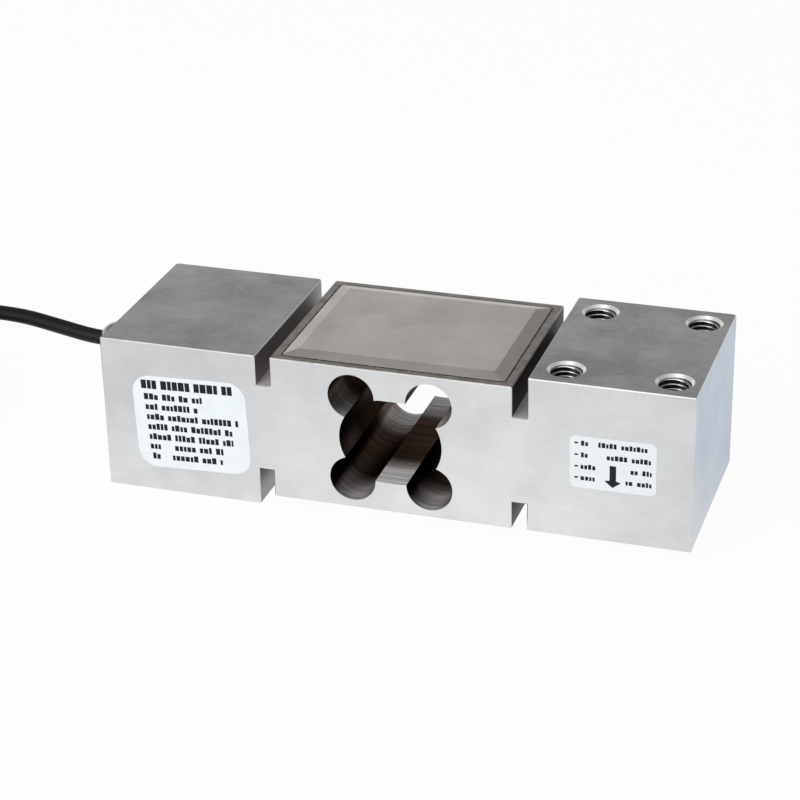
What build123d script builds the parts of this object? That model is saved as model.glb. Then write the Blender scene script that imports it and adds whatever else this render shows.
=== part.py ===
from build123d import *
import os
from math import cos, pi, radians, sin, tan

# Weighing load cell: a machined steel block that bends a little under load, sealed
# by two welded covers, with its signal cable. Millimetres throughout. X runs along the
# block from the fixed, cable end to the load end, Y across it, Z up. The origin is the
# centre of the block's footprint, level with the mounting pad under the fixed end.

os.makedirs("parts", exist_ok=True)

# Block
length = 190.0
width = 63.0
body_height = 48.0
fixed_pad_step = 3.5
load_pad_step = 3.5
fixed_end_length = 52.0
load_end_length = 51.0
slot_width = 4.8
top_slot_depth = 9.9
bottom_slot_depth = 9.0
edge_break = 0.3
back_corner_radius = 1.2

# Four-lobed hole that leaves a thin wall above and below each lobe
waist_radius = 14.05
waist_flat = 5.0
lobe_radius = 7.45
lobe_spacing = 24.9
lobe_wall = 2.45
gauge_wall = 1.1

# Tapped mounting holes, at the thread's outer radius
thread_radius = 5.0
thread_depth = 22.0
drill_point_angle = 118.0
countersink_radius = 5.9
bolt_spacing_x = 33.0
bolt_spacing_y = 44.0
fixed_bolts_from_end = 26.0
load_bolts_from_end = 25.0

# Covers over the gauges
cover_margin_along = 2.9
cover_margin_across = 2.75
cover_thickness = 0.8
cover_rise = 1.0
cover_bevel = 4.3
cover_corner = 1.0
seam_gap = 0.15
ledge_width = 2.6
pocket_corner = 3.0

# Gauges, their leads and the terminal board
gauge_length = 9.0
gauge_width = 8.0
gauge_thickness = 0.12
gauge_lead_radius = 0.25
gauge_lead_lift = 0.05
gauge_tab_spacing = 6.4
gauge_lead_detour = 13.0
gauge_lead_setoff = 3.5
terminal_pocket_length = 9.4
terminal_pocket_depth = 6.5
board_clearance = 0.2
board_thickness = 1.2
pad_thickness = 0.2
pad_size = 0.9
riser_spacing = 34.0
riser_radius = 1.5
riser_margin = 1.7
riser_lead_offset = 0.6
resistor_length = 3.2
resistor_width = 1.6
resistor_height = 0.6
resistor_gap = 0.8
first_resistor_place = 8.5

# Cable and its gland in the fixed end's face
cable_radius = 2.5
gland_height = 35.9
gland_thread_radius = 6.0
gland_thread_clearance = 0.05
gland_thread_depth = 9.0
gland_thread_gap = 1.0
gland_washer_thickness = 1.0
gland_washer_radius = 7.0
gland_flange_thickness = 4.0
gland_flange_across_flats = 14.0
hexagon_corner_break = 0.9
gland_neck_radius = 5.0
gland_neck_length = 5.0
gland_wall = 1.0
gland_bore_clearance = 0.2
seal_length = 3.6
seal_fit = 0.05
nut_across_flats = 12.0
nut_grip = 3.0
nut_gap = 0.6
dome_radius = 5.9
nut_thread_clearance = 0.05
nut_lip = 0.3
nut_mouth_clearance = 0.4
wire_bore_radius = 3.2
inner_cable_end = 45.0

# Cores of the cable
core_radius = 0.5
core_ring_radius = 2.05
core_bend = 1.4
core_pad_distance = 9.0
core_pad_step = 2.5
screen_radius = 0.7
core_colours = ("red", "yellow", "black", "blue", "green", "white")

# Coil of the cable's unseen length, its tie and its stripped end
coil_columns = 4
coil_layers = 4
coil_radius = 28.0
coil_corner = 1.8
coil_centre_x = -200.0
coil_centre_y = -18.0
tie_thickness = 1.1
tie_width = 3.6
tie_clearance = 0.15
tie_angle = 315.0
tie_floor_gap = 0.05
tie_head_length = 6.0
tie_head_width = 5.0
tie_head_height = 4.5
sleeve_thickness = 0.55
sleeve_fit = 0.05
sleeve_on_jacket = 6.0
sleeve_past_jacket = 8.0
bundle_ring_radius = 1.5
bundle_straight = 10.0
fan_first_run = 12.0
fan_last_run = 16.0
fan_step = 12.0
screen_run = 9.0

# Stickers on the front face, left blank of words
sticker_thickness = 0.12
rating_label_width = 38.2
rating_label_height = 31.8
rating_label_corner = 6.0
rating_label_tilt = 2.2
rating_label_from_end = 29.7
rating_label_height_above_pad = 24.8
wiring_label_width = 26.5
wiring_label_height = 17.3
wiring_label_corner = 1.8
wiring_label_tilt = 0.6
wiring_label_from_end = 24.5
wiring_label_height_above_pad = 29.6

# Levels and stations of the block, worked out from the sizes above
body_bottom = fixed_pad_step
body_top = body_bottom + body_height
body_middle = body_bottom + body_height / 2
load_top = body_top + load_pad_step
fixed_face = -length / 2
load_face = length / 2
fixed_slot_near = fixed_face + fixed_end_length
fixed_slot_far = fixed_slot_near + slot_width
load_slot_far = load_face - load_end_length
load_slot_near = load_slot_far - slot_width
middle_x = (fixed_slot_far + load_slot_near) / 2
middle_length = load_slot_near - fixed_slot_far
lobe_height = body_height / 2 - lobe_wall - lobe_radius
fixed_bolts_x = fixed_face + fixed_bolts_from_end
load_bolts_x = load_face - load_bolts_from_end
recess_length = middle_length - 2 * cover_margin_along
recess_width = width - 2 * cover_margin_across
pocket_length = recess_length - 2 * ledge_width
pocket_width = recess_width - 2 * ledge_width
gauge_pocket_depth = lobe_wall - gauge_wall
gauge_floor = body_top - gauge_pocket_depth
terminal_x = middle_x - pocket_length / 2 + terminal_pocket_length / 2
terminal_pocket_width = riser_spacing + 2 * (riser_radius + riser_margin)
terminal_floor = body_top - terminal_pocket_depth
board_top = terminal_floor + board_thickness
board_length = terminal_pocket_length - 2 * board_clearance
board_width = terminal_pocket_width - 2 * board_clearance


def placed_on_both_sides():
    """Frames on the middle's top and underside, each with its own Z pointing out of the metal."""
    top = Pos(middle_x, 0, body_top)
    underside = Pos(middle_x, 0, body_bottom) * Rot(180, 0, 0)
    return top, underside


def prism(sketch, low, high):
    """A sketch on the XY plane, as a solid between two heights."""
    return extrude(Pos(0, 0, low) * sketch, high - low)


def tube(points, radii, radius):
    """A round rod along straight runs joined by tangent arcs."""
    path = FilletPolyline(*points, radius=radii)
    start = Plane(origin=path @ 0, z_dir=path % 0)
    return sweep(start * Circle(radius), path=path)


def arc_radii(points):
    """The radius at each corner of a cord's route: as large as its two runs allow."""
    corners = [Vector(*p) for p in points]
    radii = []
    for before, corner, after in zip(corners, corners[1:], corners[2:]):
        shorter = min((corner - before).length, (after - corner).length)
        half_turn = (corner - before).get_angle(after - corner) / 2
        radii.append(0.45 * shorter / tan(radians(half_turn)))
    return radii


def cord_length(points, radii):
    """Length of a route of straight runs and arcs."""
    corners = [Vector(*p) for p in points]
    total = sum((b - a).length for a, b in zip(corners, corners[1:]))
    for i, radius in enumerate(radii):
        before, after = corners[i + 1] - corners[i], corners[i + 2] - corners[i + 1]
        turn = radians(before.get_angle(after))
        total += radius * turn - 2 * radius * tan(turn / 2)
    return total


def block_profile():
    """The block's outline seen from the front: two ends and a middle, parted by four slots."""
    top_slot_floor = body_top - top_slot_depth
    bottom_slot_roof = body_bottom + bottom_slot_depth
    outline = [
        (fixed_face, 0),
        (fixed_slot_near, 0),
        (fixed_slot_near, bottom_slot_roof),
        (fixed_slot_far, bottom_slot_roof),
        (fixed_slot_far, body_bottom),
        (load_slot_near, body_bottom),
        (load_slot_near, bottom_slot_roof),
        (load_slot_far, bottom_slot_roof),
        (load_slot_far, body_bottom),
        (load_face, body_bottom),
        (load_face, load_top),
        (load_slot_far, load_top),
        (load_slot_far, body_top - top_slot_depth),
        (load_slot_near, top_slot_floor),
        (load_slot_near, body_top),
        (fixed_slot_far, body_top),
        (fixed_slot_far, top_slot_floor),
        (fixed_slot_near, top_slot_floor),
        (fixed_slot_near, body_top),
        (fixed_face, body_top),
    ]
    return make_face(Polyline(*outline, close=True))


def lobed_hole():
    """The four-lobed hole, as the solid that is cut away through the block's full width."""
    shape = SlotCenterToCenter(waist_flat, 2 * waist_radius)
    for side in (-1, 1):
        for up in (-1, 1):
            shape += Pos(side * lobe_spacing / 2, up * lobe_height) * Circle(lobe_radius)
    through = extrude(shape, width, both=True)
    return Pos(middle_x, 0, body_middle) * Rot(90, 0, 0) * through


def tapped_hole():
    """One blind tapped hole from the surface down, with its countersink and drill point."""
    hole = Cylinder(thread_radius, thread_depth, align=(Align.CENTER, Align.CENTER, Align.MAX))
    point_length = thread_radius / tan(radians(drill_point_angle / 2))
    point = Cone(0.01, thread_radius, point_length, align=(Align.CENTER, Align.CENTER, Align.MAX))
    sink_depth = countersink_radius - thread_radius
    sink = Cone(thread_radius, countersink_radius, sink_depth, align=(Align.CENTER, Align.CENTER, Align.MAX))
    return hole + Pos(0, 0, -thread_depth) * point + sink


def bolt_places():
    """Corners of the bolt pattern about its centre."""
    return GridLocations(bolt_spacing_x, bolt_spacing_y, 2, 2)


def cover_seat():
    """What is cut from the middle for one cover: its recess and the gauge pocket inside it."""
    recess = prism(RectangleRounded(recess_length, recess_width, cover_corner + seam_gap), -cover_thickness, 1)
    pocket = prism(RectangleRounded(pocket_length, pocket_width, pocket_corner), -gauge_pocket_depth, 1)
    return recess + pocket


def wire_ways():
    """Gland thread, wire bore, terminal pocket and the risers that join them."""
    gland_hole = Pos(fixed_face, 0, gland_height) * Rot(0, 90, 0) * Cylinder(
        gland_thread_radius, gland_thread_depth, align=(Align.CENTER, Align.CENTER, Align.MIN)
    )
    bore_length = terminal_x + wire_bore_radius - fixed_face
    bore = Pos(fixed_face, 0, gland_height) * Rot(0, 90, 0) * Cylinder(
        wire_bore_radius, bore_length, align=(Align.CENTER, Align.CENTER, Align.MIN)
    )
    middle_riser = Pos(terminal_x, 0, gland_height - wire_bore_radius) * Cylinder(
        wire_bore_radius, body_top - gland_height, align=(Align.CENTER, Align.CENTER, Align.MIN)
    )
    pocket = prism(
        Pos(terminal_x, 0) * RectangleRounded(terminal_pocket_length, terminal_pocket_width, pocket_corner),
        terminal_floor,
        body_top,
    )
    ways = gland_hole + bore + middle_riser + pocket
    for side in (-1, 1):
        riser = Pos(terminal_x, side * riser_spacing / 2, body_bottom) * Cylinder(
            riser_radius, body_height - terminal_pocket_depth, align=(Align.CENTER, Align.CENTER, Align.MIN)
        )
        ways += riser
    return ways


def spring_element():
    block = Rot(90, 0, 0) * extrude(block_profile(), width / 2, both=True)
    back_corners = [
        edge
        for edge in block.edges().filter_by(Axis.Z)
        if edge.center().Y > 0 and abs(edge.center().X - middle_x) > middle_length / 2 + slot_width / 2
    ]
    block = fillet(back_corners, back_corner_radius)
    across = block.edges().filter_by(Axis.Y)
    slot_corners = across.filter_by_position(Axis.Z, body_bottom + edge_break, body_top - edge_break)
    outer_across = [edge for edge in across if edge not in slot_corners]
    rim = block.faces().sort_by(Axis.Y)[0].outer_wire().edges()
    rim += block.faces().sort_by(Axis.Y)[-1].outer_wire().edges()
    block = chamfer(outer_across + list(rim), edge_break)
    block -= lobed_hole()
    for frame in placed_on_both_sides():
        block -= frame * cover_seat()
    block -= wire_ways()
    for place in bolt_places():
        block -= Pos(load_bolts_x, 0, load_top) * place * tapped_hole()
        block -= Pos(fixed_bolts_x, 0, 0) * Rot(180, 0, 0) * place * tapped_hole()
    return block


def cover():
    """Pressed sheet cover in its own frame: Z = 0 is level with the metal around it."""
    outer_length = recess_length - 2 * seam_gap
    outer_width = recess_width - 2 * seam_gap
    raised_length = outer_length - 2 * cover_bevel
    raised_width = outer_width - 2 * cover_bevel
    hollow_length = outer_length - 2 * ledge_width
    hollow_width = outer_width - 2 * ledge_width
    inner_inset = cover_bevel - ledge_width + cover_thickness
    foot = RectangleRounded(outer_length, outer_width, cover_corner)
    rim = prism(foot, -cover_thickness, 0)
    rise = loft([foot, Pos(0, 0, cover_rise) * RectangleRounded(raised_length, raised_width, cover_corner)])
    hollow = loft([
        Pos(0, 0, -cover_thickness) * RectangleRounded(hollow_length, hollow_width, cover_corner),
        Pos(0, 0, cover_rise - cover_thickness) * RectangleRounded(
            hollow_length - 2 * inner_inset, hollow_width - 2 * inner_inset, cover_corner
        ),
    ])
    return rim + rise - hollow


def gauge():
    """Foil gauge bonded to a pocket floor, in a frame whose Z = 0 is that floor."""
    return Box(gauge_length, gauge_width, gauge_thickness, align=(Align.CENTER, Align.CENTER, Align.MIN))


def gauge_x(side):
    """Centre of the gauges over one column of lobes, from the middle of the hole."""
    return side * lobe_spacing / 2


def lead_on_floor(side, hand):
    """Points of one gauge lead on its pocket floor, up to the edge of the terminal pocket.

    side is -1 for the gauge near the fixed end and 1 for the other, whose leads pass
    outside the first one's. hand is the lead's side of the block.
    """
    lift = gauge_lead_radius + gauge_lead_lift
    tab = (gauge_x(side) - gauge_length / 2 - lift, hand * gauge_tab_spacing / 2, lift)
    edge_x = terminal_x + terminal_pocket_length / 2 - middle_x + gauge_lead_setoff
    if side < 0:
        return [tab, (edge_x, hand * gauge_tab_spacing / 2, lift)]
    detour = hand * gauge_lead_detour / 2
    return [tab, (tab[0] - gauge_lead_setoff, detour, lift), (edge_x, detour, lift)]


def top_leads(side):
    """Two leads of a top gauge, over the edge of the terminal pocket and down to their pads."""
    leads = []
    bend = 2 * gauge_lead_radius
    for hand in (-1, 1):
        points = lead_on_floor(side, hand)
        pad_x, pad_y = lead_pad(side, hand)
        points[-1] = (pad_x - middle_x, points[-1][1], points[-1][2])
        points = [(x + middle_x, y, z + gauge_floor) for x, y, z in points]
        points.append((pad_x, pad_y, board_top + pad_thickness))
        leads.append(tube(points, [bend] * (len(points) - 2), gauge_lead_radius))
    return Compound(leads)


def lead_pad(side, hand):
    """Where a top gauge's lead lands on the terminal board."""
    reach = gauge_tab_spacing / 2 if side < 0 else gauge_lead_detour / 2
    return terminal_x + board_length / 2 - pad_size, hand * reach


def riser_pad(side, hand):
    """Where a bottom gauge's lead lands on the terminal board, beside its riser."""
    lead_y = hand * (riser_spacing / 2 + side * riser_lead_offset)
    return terminal_x + board_length / 2 - pad_size, lead_y


def bottom_leads(side):
    """Two leads of a bottom gauge, along their floor and up a riser to the board."""
    leads = []
    bend = 2 * gauge_lead_radius
    floor = body_bottom + gauge_pocket_depth
    for hand in (-1, 1):
        points = [(x + middle_x, y, floor - z) for x, y, z in lead_on_floor(side, hand)]
        pad_x, pad_y = riser_pad(side, hand)
        lead_z = board_top + pad_thickness + gauge_lead_radius
        points.append((terminal_x, pad_y, points[-1][2]))
        points.append((terminal_x, pad_y, lead_z))
        points.append((pad_x, pad_y, lead_z))
        leads.append(tube(points, [bend] * (len(points) - 2), gauge_lead_radius))
    return Compound(leads)


def terminal_board():
    board = prism(RectangleRounded(board_length, board_width, pocket_corner), 0, board_thickness)
    board -= Cylinder(wire_bore_radius, 4 * board_thickness)
    for side in (-1, 1):
        board -= Pos(0, side * riser_spacing / 2, 0) * Cylinder(riser_radius, 4 * board_thickness)
    return Pos(terminal_x, 0, terminal_floor) * board


def core_angle(index):
    """Place of a core on the ring about the cable's axis."""
    return radians(30 + 60 * index)


def core_pad(index):
    """Where a core ends on the board: its X, its Y and which way it leaves the riser."""
    across = core_ring_radius * cos(core_angle(index))
    along = -core_ring_radius * sin(core_angle(index))
    hand = 1 if index in (0, 1, 5) else -1
    steps = {0: 1, 1: 2, 2: 1, 3: 0, 4: 2, 5: 0}[index]
    return terminal_x + along, across, hand * (core_pad_distance + steps * core_pad_step)


def inner_core(index):
    """A core from the cable's stripped end in the bore, up the middle riser to its pad."""
    ring_y = core_ring_radius * cos(core_angle(index))
    ring_z = gland_height + core_ring_radius * sin(core_angle(index))
    riser_x, _, pad_y = core_pad(index)
    lead_z = board_top + pad_thickness + core_radius
    points = [
        (inner_end_x, ring_y, ring_z),
        (riser_x, ring_y, ring_z),
        (riser_x, ring_y, lead_z),
        (riser_x, pad_y, lead_z),
    ]
    return tube(points, [core_bend, core_bend], core_radius)


def solder_pads():
    """Tinned pads on the board, one under the end of each core and gauge lead."""
    places = []
    for index in range(len(core_colours)):
        pad_x, _, pad_y = core_pad(index)
        places.append((pad_x, pad_y - pad_size / 2 if pad_y > 0 else pad_y + pad_size / 2))
    for side in (-1, 1):
        for hand in (-1, 1):
            places.append(lead_pad(side, hand))
            places.append(riser_pad(side, hand))
    pad = Box(pad_size, pad_size, pad_thickness, align=(Align.CENTER, Align.CENTER, Align.MIN))
    return Compound([Pos(x, y, board_top) * pad for x, y in places])


def resistor(index):
    """A trim resistor on the board, between the middle riser and the fixed end's side."""
    body = Box(resistor_width, resistor_length, resistor_height, align=(Align.CENTER, Align.CENTER, Align.MIN))
    x = terminal_x - board_length / 2 + pad_size / 2 + resistor_width / 2
    y = first_resistor_place + index * (resistor_length + resistor_gap)
    return Pos(x, -y, board_top) * body


# Stations of the gland along X, from the fixed end's face outwards
washer_out = fixed_face - gland_washer_thickness
flange_out = washer_out - gland_flange_thickness
neck_out = flange_out - gland_neck_length
nut_in = flange_out - nut_gap
dome_centre = nut_in - nut_grip
mouth_radius = cable_radius + nut_mouth_clearance
mouth_out = dome_centre - (dome_radius**2 - (mouth_radius + nut_lip) ** 2) ** 0.5
shank_in = fixed_face + gland_thread_depth - gland_thread_gap
cable_joint = neck_out
inner_end_x = fixed_face + inner_cable_end
gland_bore_radius = cable_radius + gland_bore_clearance
seal_radius = gland_neck_radius - gland_wall


def along_gland(low, high, radius):
    """A cylinder on the gland's axis between two stations."""
    rod = Cylinder(radius, high - low, align=(Align.CENTER, Align.CENTER, Align.MIN))
    return Pos(low, 0, gland_height) * Rot(0, 90, 0) * rod


def hexagon_on_gland(low, high, across_flats):
    """A hexagonal prism on the gland's axis between two stations."""
    thickness = high - low
    hexagon = extrude(RegularPolygon(across_flats / 2, 6, major_radius=False), thickness)
    turned = Cylinder(across_flats / 3**0.5, thickness, align=(Align.CENTER, Align.CENTER, Align.MIN))
    outer_edge = turned.edges().sort_by(Axis.Z)[0]
    turned = chamfer(outer_edge, hexagon_corner_break / 2, hexagon_corner_break)
    return Pos(low, 0, gland_height) * Rot(0, 90, 0) * (hexagon & turned)


def gland_washer():
    ring = along_gland(washer_out, fixed_face, gland_washer_radius)
    return ring - along_gland(washer_out, fixed_face, gland_thread_radius)


def gland_body():
    shank = along_gland(washer_out, shank_in, gland_thread_radius - gland_thread_clearance)
    flange = hexagon_on_gland(flange_out, washer_out, gland_flange_across_flats)
    neck = along_gland(neck_out, flange_out, gland_neck_radius)
    bore = along_gland(neck_out, shank_in, gland_bore_radius)
    seal_room = along_gland(neck_out, neck_out + seal_length, seal_radius)
    return shank + flange + neck - bore - seal_room


def gland_seal():
    ring = along_gland(neck_out, neck_out + seal_length, seal_radius - seal_fit)
    return ring - along_gland(neck_out, neck_out + seal_length, cable_radius + seal_fit)


def gland_nut():
    grip = hexagon_on_gland(dome_centre, nut_in, nut_across_flats)
    dome = Pos(dome_centre, 0, gland_height) * Sphere(dome_radius)
    dome = dome & along_gland(mouth_out, dome_centre, dome_radius)
    thread = along_gland(neck_out - nut_thread_clearance, nut_in, gland_neck_radius + nut_thread_clearance)
    return grip + dome - thread - along_gland(mouth_out, nut_in, mouth_radius)


def sticker(sticker_width, sticker_height, corner, tilt, x, z):
    """A thin sticker on the front face, turned by tilt as seen from the front."""
    sheet = extrude(RectangleRounded(sticker_width, sticker_height, corner), sticker_thickness)
    return Pos(x, -width / 2, z) * Rot(90, 0, 0) * Rot(0, 0, tilt) * sheet


# Coil of the cable's unseen length
coil_pitch = 2 * cable_radius
coil_half_width = coil_columns * cable_radius
coil_height = coil_layers * coil_pitch
coil_floor = tie_floor_gap + tie_thickness + tie_clearance
coil_top = coil_floor + coil_height


def cable_coil():
    section = Rectangle(2 * coil_half_width, coil_height)
    section = chamfer(section.vertices(), coil_corner)
    ring = revolve(Plane.XZ * Pos(coil_radius, 0) * section, Axis.Z)
    return Pos(coil_centre_x, coil_centre_y, coil_floor + coil_height / 2) * ring


def cable_tie():
    """A strap round the coil's section, with its head on the outside."""
    inner_width = 2 * coil_half_width + 2 * tie_clearance
    inner_height = coil_height + 2 * tie_clearance
    strap = RectangleRounded(
        inner_width + 2 * tie_thickness, inner_height + 2 * tie_thickness, coil_corner + tie_thickness
    )
    strap -= RectangleRounded(inner_width, inner_height, coil_corner)
    band = extrude(Plane.XZ * strap, tie_width / 2, both=True)
    head = Pos(inner_width / 2 + tie_thickness + tie_head_width / 2 - tie_clearance, 0, 0) * Box(
        tie_head_width, tie_head_length, tie_head_height
    )
    tie = Pos(coil_radius, 0, 0) * (band + head)
    return Pos(coil_centre_x, coil_centre_y, coil_floor + coil_height / 2) * Rot(0, 0, tie_angle) * tie


def from_coil(angle, radius, z):
    """A point about the coil's centre."""
    return (
        coil_centre_x + radius * cos(radians(angle)),
        coil_centre_y + radius * sin(radians(angle)),
        z,
    )


# Route of the free cable, chosen by hand. It leaves the gland level, rises a little and
# drifts to the back, then comes down onto the coil's top turn.
cable_route = [
    (cable_joint, 0.0, gland_height),
    (-111.6, 0.0, gland_height),
    (-123.3, 2.2, 36.7),
    (-142.9, 6.2, 37.9),
    (-166.0, 11.0, 34.8),
    (-184.3, 14.6, 27.5),
    (-200.6, 16.6, 18.6),
]

# The tail leaves the coil's side, comes down to the floor and follows the coil round to
# its stripped cores.
tail_start_z = coil_floor + cable_radius
tail_rest_z = cable_radius + sleeve_fit + sleeve_thickness
tail_route = [
    from_coil(122, 32.8, tail_start_z),
    from_coil(146, 36.6, tail_start_z),
    from_coil(168, 39.4, 3.7),
    from_coil(189, 41.6, 3.6),
    from_coil(209, 43.0, 3.4),
    from_coil(229, 43.9, 3.2),
    from_coil(250, 44.2, tail_rest_z),
    from_coil(270, 44.2, tail_rest_z),
    from_coil(287, 44.6, tail_rest_z),
]


def cord(name, route):
    """A cord's tube along its route, with what its arcs and its size come out as."""
    radii = arc_radii(route)
    rod = tube(route, radii, cable_radius)
    expected = pi * cable_radius**2 * cord_length(route, radii)
    print(name, "arcs", [round(radius, 1) for radius in radii])
    print(name, "length", round(cord_length(route, radii), 1), "of its volume", round(rod.volume / expected, 4))
    return rod


def cable():
    """The free cable, which ends where it sinks between the turns on the coil's top."""
    return split(cord("cable", cable_route), bisect_by=Plane.XY.offset(coil_top), keep=Keep.TOP)


def cable_tail():
    """The cable's end, from where it comes out between the turns on the coil's side."""
    inside = Cylinder(coil_radius + coil_half_width, 4 * coil_height)
    return cord("cable tail", tail_route) - Pos(coil_centre_x, coil_centre_y, 0) * inside


def tail_end():
    """The jacket's end, the direction it points in and the level direction across it."""
    end = Vector(*tail_route[-1])
    along = (end - Vector(*tail_route[-2])).normalized()
    across = Vector(0, 0, 1).cross(along)
    return end, along, across


def end_sleeve():
    end, along, _ = tail_end()
    start = Plane(origin=end - along * sleeve_on_jacket, z_dir=along)
    sleeve_length = sleeve_on_jacket + sleeve_past_jacket
    inner = cable_radius + sleeve_fit
    ring = Circle(inner + sleeve_thickness) - Circle(inner)
    return extrude(start * ring, sleeve_length)


def fan_angle(index):
    """How far a core turns aside past the sleeve: the ones on the outside turn most."""
    order = {0: 2.5, 1: 1.5, 5: 0.5, 4: -0.5, 2: -1.5, 3: -2.5}
    return order[index] * fan_step


def end_core(index):
    """One stripped core past the jacket's end: straight through the sleeve, then fanned out."""
    end, along, across = tail_end()
    angle = radians(60 * index)
    start = end + across * (bundle_ring_radius * cos(angle)) + Vector(0, 0, bundle_ring_radius * sin(angle))
    knee = start + along * bundle_straight
    half = along.rotate(Axis.Z, fan_angle(index) / 2)
    whole = along.rotate(Axis.Z, fan_angle(index))
    rest_z = 2 * core_radius
    middle = knee + half * fan_first_run
    middle = Vector(middle.X, middle.Y, (start.Z + rest_z) / 2)
    tip = middle + whole * fan_last_run
    tip = Vector(tip.X, tip.Y, rest_z)
    points = [tuple(p) for p in (start, knee, middle, tip)]
    return tube(points, arc_radii(points), core_radius)


def screen_tail():
    """The cable's twisted screen, straight out between the cores and down to the floor."""
    end, along, _ = tail_end()
    knee = end + along * (bundle_straight + fan_first_run / 2)
    tip = knee + along * screen_run
    tip = Vector(tip.X, tip.Y, 2 * screen_radius)
    points = [tuple(end), tuple(knee), tuple(tip)]
    return tube(points, arc_radii(points), screen_radius)


def all_nodes():
    """Every node by name."""
    nodes = {}
    top, underside = placed_on_both_sides()
    nodes["spring_element"] = spring_element()
    nodes["top_cover"] = top * cover()
    nodes["bottom_cover"] = underside * cover()
    down = Pos(0, 0, -gauge_pocket_depth)
    for end_name, side in (("fixed", -1), ("load", 1)):
        nodes[f"top_{end_name}_gauge"] = top * down * Pos(gauge_x(side), 0, 0) * gauge()
        nodes[f"bottom_{end_name}_gauge"] = underside * down * Pos(gauge_x(side), 0, 0) * gauge()
        nodes[f"top_{end_name}_gauge_leads"] = top_leads(side)
        nodes[f"bottom_{end_name}_gauge_leads"] = bottom_leads(side)
    nodes["terminal_board"] = terminal_board()
    nodes["solder_pads"] = solder_pads()
    for index, name in enumerate(("zero_resistor", "span_resistor", "balance_resistor")):
        nodes[name] = resistor(index)
    for index, colour in enumerate(core_colours):
        nodes[f"inner_{colour}_core"] = inner_core(index)
    nodes["gland_washer"] = gland_washer()
    nodes["gland_body"] = gland_body()
    nodes["gland_seal"] = gland_seal()
    nodes["gland_nut"] = gland_nut()
    nodes["inner_cable"] = along_gland(cable_joint, inner_end_x, cable_radius)
    nodes["cable"] = cable()
    nodes["cable_coil"] = cable_coil()
    nodes["cable_tie"] = cable_tie()
    nodes["cable_tail"] = cable_tail()
    nodes["end_sleeve"] = end_sleeve()
    for index, colour in enumerate(core_colours):
        nodes[f"end_{colour}_core"] = end_core(index)
    nodes["end_screen"] = screen_tail()
    nodes["rating_label"] = sticker(
        rating_label_width,
        rating_label_height,
        rating_label_corner,
        rating_label_tilt,
        fixed_face + rating_label_from_end,
        rating_label_height_above_pad,
    )
    nodes["wiring_label"] = sticker(
        wiring_label_width,
        wiring_label_height,
        wiring_label_corner,
        wiring_label_tilt,
        load_face - wiring_label_from_end,
        wiring_label_height_above_pad,
    )
    return nodes


for node_name, shape in all_nodes().items():
    export_step(shape, f"parts/{node_name}.step")
    print(node_name, "volume", round(shape.volume, 1))
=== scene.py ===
# %% [markdown]
# # A weighing load cell
#
# The object is a ground steel block, 190 mm long, that bends a little under load. Strain
# gauges sit under two welded covers, and a black signal cable leaves one end. The CAD model
# already has every solid at its real size, so this script adds what the eye sees: finishes,
# screw threads, welds, print and the cable at its real length. One Blender unit is a metre.

# %% The frame
import math
import random

import bpy
from mathutils import Matrix, Vector


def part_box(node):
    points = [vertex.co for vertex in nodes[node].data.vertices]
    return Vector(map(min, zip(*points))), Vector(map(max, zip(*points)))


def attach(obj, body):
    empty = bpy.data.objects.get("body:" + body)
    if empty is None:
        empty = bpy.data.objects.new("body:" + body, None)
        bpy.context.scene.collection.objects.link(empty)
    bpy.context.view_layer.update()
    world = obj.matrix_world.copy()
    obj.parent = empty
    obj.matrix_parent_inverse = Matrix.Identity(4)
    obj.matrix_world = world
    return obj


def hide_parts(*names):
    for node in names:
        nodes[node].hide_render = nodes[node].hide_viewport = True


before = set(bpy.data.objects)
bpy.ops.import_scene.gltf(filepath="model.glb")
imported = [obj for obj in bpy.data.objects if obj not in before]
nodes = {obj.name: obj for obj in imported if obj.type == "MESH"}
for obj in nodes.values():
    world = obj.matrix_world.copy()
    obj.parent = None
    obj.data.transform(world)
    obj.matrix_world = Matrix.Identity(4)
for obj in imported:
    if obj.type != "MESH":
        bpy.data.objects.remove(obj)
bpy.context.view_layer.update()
MM = 0.001
BODY = "root"
scene = bpy.context.scene
scene.view_settings.view_transform = "Standard"

# %% [markdown]
# ## Camera
#
# A product photo taken with a long lens shows the block from its front right, looking down.
# The place, turn and focal length were solved from the block's corners, with the block's
# real size as the ruler. The camera leans by about a degree, which a hand-held or hastily
# levelled camera has. Its shift is half a pixel, because a pixel's middle is not its corner.

# %% Camera
CAMERA_PLACE = Vector((208.7, -652.2, 360.0)) * MM
CAMERA_AZIMUTH = math.radians(18.24)
CAMERA_ELEVATION = math.radians(25.91)
CAMERA_LEAN = math.radians(-1.11)
SENSOR_WIDTH = 36.0
FOCAL_LENGTH = 107.6
PICTURE_SIDE = 800
HALF_PIXEL = 0.5 / PICTURE_SIDE

camera_data = bpy.data.cameras.new("camera")
camera_data.sensor_width = SENSOR_WIDTH
camera_data.lens = FOCAL_LENGTH
camera_data.shift_x = -HALF_PIXEL
camera_data.shift_y = HALF_PIXEL
camera = bpy.data.objects.new("camera", camera_data)
scene.collection.objects.link(camera)
level = math.cos(CAMERA_ELEVATION)
looking = Vector((
    -math.sin(CAMERA_AZIMUTH) * level,
    math.cos(CAMERA_AZIMUTH) * level,
    -math.sin(CAMERA_ELEVATION),
))
upright = looking.to_track_quat("-Z", "Y").to_matrix()
leaning = upright @ Matrix.Rotation(CAMERA_LEAN, 3, "Z")
camera.matrix_world = Matrix.Translation(CAMERA_PLACE) @ leaning.to_4x4()
scene.camera = camera
print("camera distance in mm", round(CAMERA_PLACE.length / MM))

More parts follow.
